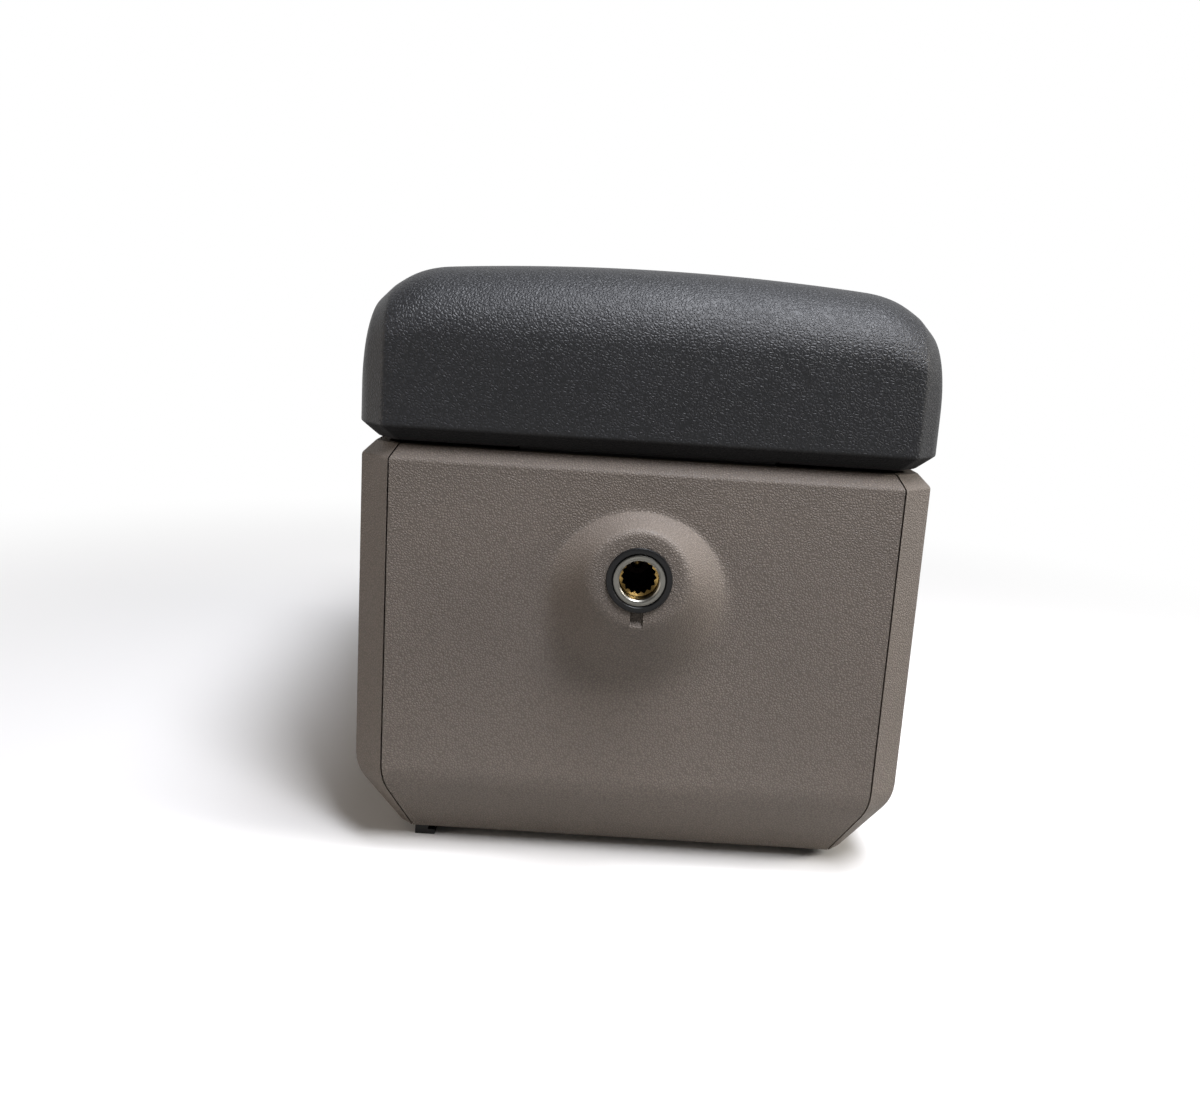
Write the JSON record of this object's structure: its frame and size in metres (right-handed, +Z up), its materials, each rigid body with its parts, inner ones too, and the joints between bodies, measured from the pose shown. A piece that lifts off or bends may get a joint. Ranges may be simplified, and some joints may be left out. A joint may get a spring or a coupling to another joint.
{
  "type": "center console armrest box",
  "caption": "Rear end of a vehicle's centre console: a storage box with a hinged padded armrest lid and an accessory power socket in its rear panel.",
  "frame": {"origin": "on the ground, under the middle of the object's box", "axes": "+Z up; -Y is the way the rear panel with the power socket looks; +X is to the right of someone who faces that panel"},
  "size_m": [0.3194, 0.4292, 0.3379],
  "materials": {
    "taupe_plastic": "moulded plastic with a fine leather grain",
    "charcoal_vinyl": "grained charcoal vinyl over foam",
    "dark_plastic": "matte black plastic",
    "gloss_black": "glossy black plastic",
    "black_steel": "black painted sheet steel",
    "zinc_steel": "zinc plated steel",
    "nickel_plate": "nickel plated steel",
    "brass": "plain brass",
    "brown_phenolic": "brown phenolic board",
    "black_rubber": "black rubber"
  },
  "bodies": {
    "body": {"rear_panel": "taupe_plastic", "front_panel": "taupe_plastic", "left_side_panel": "taupe_plastic", "right_side_panel": "taupe_plastic", "storage_bin": "dark_plastic", "bin_mat": "black_rubber", "base_frame": "black_steel", "socket_bezel": "gloss_black", "socket_barrel": "nickel_plate", "socket_retainer": "dark_plastic", "socket_insulator": "brown_phenolic", "socket_contact": "brass", "socket_ground_tab": "zinc_steel", "panel_screw_1": "zinc_steel", "panel_screw_2": "zinc_steel", "panel_screw_3": "zinc_steel", "panel_screw_4": "zinc_steel", "panel_screw_5": "zinc_steel", "panel_screw_6": "zinc_steel", "panel_screw_7": "zinc_steel", "panel_screw_8": "zinc_steel", "bin_screw_1": "zinc_steel", "bin_screw_2": "zinc_steel", "bin_screw_3": "zinc_steel", "bin_screw_4": "zinc_steel", "lid_bumper_1": "black_rubber", "lid_bumper_2": "black_rubber", "lid_bumper_3": "black_rubber", "lid_bumper_4": "black_rubber", "hinge_base_leaf": "black_steel", "hinge_pin": "zinc_steel", "hinge_base_screw_1": "zinc_steel", "hinge_base_screw_2": "zinc_steel", "latch_striker": "zinc_steel", "striker_screw_1": "zinc_steel", "striker_screw_2": "zinc_steel"},
    "lid": {"armrest_pad": "charcoal_vinyl", "lid_frame": "dark_plastic", "lid_inner_panel": "dark_plastic", "hinge_lid_leaf": "black_steel", "hinge_lid_screw_1": "zinc_steel", "hinge_lid_screw_2": "zinc_steel", "inner_panel_screw_1": "zinc_steel", "inner_panel_screw_2": "zinc_steel", "inner_panel_screw_3": "zinc_steel", "inner_panel_screw_4": "zinc_steel", "latch_pin": "zinc_steel", "latch_spring": "zinc_steel"},
    "latch": {"latch_paddle": "dark_plastic"}
  },
  "joints": [
    {"name": "lid_hinge", "type": "hinge", "parent": "body", "child": "lid", "pos_m": [0, -0.18045, 0.2395], "axis": [1, 0, 0], "range_deg": [0, 80]},
    {"name": "latch_pivot", "type": "hinge", "parent": "lid", "child": "latch", "pos_m": [0, 0.20605, 0.262], "axis": [1, 0, 0], "range_deg": [0, 13], "stiffness_Nm_per_rad": 0.5, "springref_deg": -14.32, "deforming": ["latch_spring"]}
  ]
}
